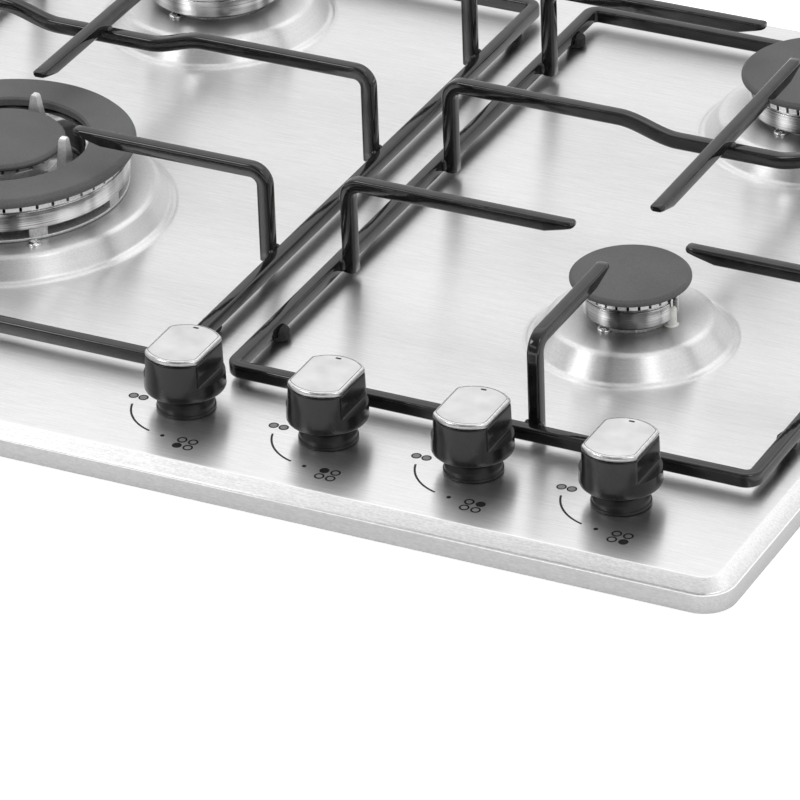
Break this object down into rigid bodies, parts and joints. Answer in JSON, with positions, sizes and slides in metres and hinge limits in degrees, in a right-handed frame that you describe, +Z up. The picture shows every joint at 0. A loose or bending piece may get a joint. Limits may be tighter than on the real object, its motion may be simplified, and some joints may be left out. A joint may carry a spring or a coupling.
{
  "type": "gas cooktop",
  "caption": "Built-in stainless steel gas cooktop with wire pan supports, round burners under enamelled caps, a large ring burner and a row of control knobs along the front right.",
  "frame": {"origin": "centre of the under box's floor, which is the lowest plane of the cooktop", "axes": "+X to the right along the front edge, +Y to the back, +Z up out of the worktop; the worktop surface is at z = 0.042 m"},
  "size_m": [0.58, 0.51, 0.1093],
  "materials": {
    "brushed_steel": "fine brushing along the width",
    "galvanised_steel": "galvanised, dull",
    "foam": "closed-cell foam",
    "cast_aluminium": "machined bands on a matt casting",
    "cap_enamel": "matt vitreous enamel",
    "black_enamel": "gloss vitreous enamel",
    "white_ceramic": "glazed",
    "black_plastic": "gloss moulding",
    "satin_metal": "satin plate with a bright rim",
    "zinc_steel": "bright zinc",
    "brass": "machined",
    "aluminium_pipe": "drawn tube",
    "rubber": "moulded",
    "plastic_case": "moulded"
  },
  "bodies": {
    "hob": {"top_panel": "brushed_steel", "under_box": "galvanised_steel", "worktop_seal": "foam", "burner_cup_front_left": "cast_aluminium", "electrode_front_left": "white_ceramic", "knob_collar_front_left": "black_plastic", "valve_front_left": "brass", "gas_pipe_front_left": "aluminium_pipe", "burner_cup_rear_left": "cast_aluminium", "electrode_rear_left": "white_ceramic", "knob_collar_rear_left": "black_plastic", "valve_rear_left": "brass", "gas_pipe_rear_left": "aluminium_pipe", "burner_cup_rear_right": "cast_aluminium", "electrode_rear_right": "white_ceramic", "knob_collar_rear_right": "black_plastic", "valve_rear_right": "brass", "gas_pipe_rear_right": "aluminium_pipe", "burner_cup_front_right": "cast_aluminium", "electrode_front_right": "white_ceramic", "knob_collar_front_right": "black_plastic", "valve_front_right": "brass", "gas_pipe_front_right": "aluminium_pipe", "gas_manifold": "zinc_steel", "igniter_module": "plastic_case"},
    "crown_front_left": {"burner_crown_front_left": "cast_aluminium"},
    "cap_front_left": {"burner_cap_front_left": "cap_enamel"},
    "inner_cap_front_left": {"inner_cap_front_left": "cap_enamel"},
    "crown_rear_left": {"burner_crown_rear_left": "cast_aluminium"},
    "cap_rear_left": {"burner_cap_rear_left": "cap_enamel"},
    "crown_rear_right": {"burner_crown_rear_right": "cast_aluminium"},
    "cap_rear_right": {"burner_cap_rear_right": "cap_enamel"},
    "crown_front_right": {"burner_crown_front_right": "cast_aluminium"},
    "cap_front_right": {"burner_cap_front_right": "cap_enamel"},
    "plug_front_left": {"valve_plug_front_left": "brass"},
    "knob_front_left": {"spindle_front_left": "zinc_steel", "knob_front_left": "black_plastic", "knob_plate_front_left": "satin_metal"},
    "plug_rear_left": {"valve_plug_rear_left": "brass"},
    "knob_rear_left": {"spindle_rear_left": "zinc_steel", "knob_rear_left": "black_plastic", "knob_plate_rear_left": "satin_metal"},
    "plug_rear_right": {"valve_plug_rear_right": "brass"},
    "knob_rear_right": {"spindle_rear_right": "zinc_steel", "knob_rear_right": "black_plastic", "knob_plate_rear_right": "satin_metal"},
    "plug_front_right": {"valve_plug_front_right": "brass"},
    "knob_front_right": {"spindle_front_right": "zinc_steel", "knob_front_right": "black_plastic", "knob_plate_front_right": "satin_metal"},
    "left_pan_support": {"left_grate": "black_enamel", "left_grate_foot_front_left": "rubber", "left_grate_foot_front_right": "rubber", "left_grate_foot_rear_left": "rubber", "left_grate_foot_rear_right": "rubber"},
    "right_pan_support": {"right_grate": "black_enamel", "right_grate_foot_front_left": "rubber", "right_grate_foot_front_right": "rubber", "right_grate_foot_rear_left": "rubber", "right_grate_foot_rear_right": "rubber"}
  },
  "joints": [
    {"name": "crown_lift_front_left", "type": "slide", "parent": "hob", "child": "crown_front_left", "axis": [0, 0, 1], "range_m": [0, 0.004]},
    {"name": "cap_lift_front_left", "type": "slide", "parent": "crown_front_left", "child": "cap_front_left", "axis": [0, 0, 1], "range_m": [0, 0.004]},
    {"name": "inner_cap_lift_front_left", "type": "slide", "parent": "crown_front_left", "child": "inner_cap_front_left", "axis": [0, 0, 1], "range_m": [0, 0.004]},
    {"name": "crown_lift_rear_left", "type": "slide", "parent": "hob", "child": "crown_rear_left", "axis": [0, 0, 1], "range_m": [0, 0.007]},
    {"name": "cap_lift_rear_left", "type": "slide", "parent": "crown_rear_left", "child": "cap_rear_left", "axis": [0, 0, 1], "range_m": [0, 0.004]},
    {"name": "crown_lift_rear_right", "type": "slide", "parent": "hob", "child": "crown_rear_right", "axis": [0, 0, 1], "range_m": [0, 0.007]},
    {"name": "cap_lift_rear_right", "type": "slide", "parent": "crown_rear_right", "child": "cap_rear_right", "axis": [0, 0, 1], "range_m": [0, 0.004]},
    {"name": "crown_lift_front_right", "type": "slide", "parent": "hob", "child": "crown_front_right", "axis": [0, 0, 1], "range_m": [0, 0.007]},
    {"name": "cap_lift_front_right", "type": "slide", "parent": "crown_front_right", "child": "cap_front_right", "axis": [0, 0, 1], "range_m": [0, 0.004]},
    {"name": "knob_turn_front_left", "type": "hinge", "parent": "hob", "child": "plug_front_left", "pos_m": [0.0038, -0.2025, 0.025], "axis": [0, 0, 1], "range_deg": [0, 180]},
    {"name": "knob_push_front_left", "type": "slide", "parent": "plug_front_left", "child": "knob_front_left", "axis": [0, 0, -1], "range_m": [0, 0.0035], "stiffness_N_per_m": 800, "springref_m": -0.004},
    {"name": "knob_turn_rear_left", "type": "hinge", "parent": "hob", "child": "plug_rear_left", "pos_m": [0.07545, -0.2025, 0.025], "axis": [0, 0, 1], "range_deg": [0, 180]},
    {"name": "knob_push_rear_left", "type": "slide", "parent": "plug_rear_left", "child": "knob_rear_left", "axis": [0, 0, -1], "range_m": [0, 0.0035], "stiffness_N_per_m": 800, "springref_m": -0.004},
    {"name": "knob_turn_rear_right", "type": "hinge", "parent": "hob", "child": "plug_rear_right", "pos_m": [0.1471, -0.2025, 0.025], "axis": [0, 0, 1], "range_deg": [0, 180]},
    {"name": "knob_push_rear_right", "type": "slide", "parent": "plug_rear_right", "child": "knob_rear_right", "axis": [0, 0, -1], "range_m": [0, 0.0035], "stiffness_N_per_m": 800, "springref_m": -0.004},
    {"name": "knob_turn_front_right", "type": "hinge", "parent": "hob", "child": "plug_front_right", "pos_m": [0.21875, -0.2025, 0.025], "axis": [0, 0, 1], "range_deg": [0, 180]},
    {"name": "knob_push_front_right", "type": "slide", "parent": "plug_front_right", "child": "knob_front_right", "axis": [0, 0, -1], "range_m": [0, 0.0035], "stiffness_N_per_m": 800, "springref_m": -0.004},
    {"name": "left_grate_lift", "type": "slide", "parent": "hob", "child": "left_pan_support", "axis": [0, 0, 1], "range_m": [0, 0.06]},
    {"name": "right_grate_lift", "type": "slide", "parent": "hob", "child": "right_pan_support", "axis": [0, 0, 1], "range_m": [0, 0.06]}
  ]
}
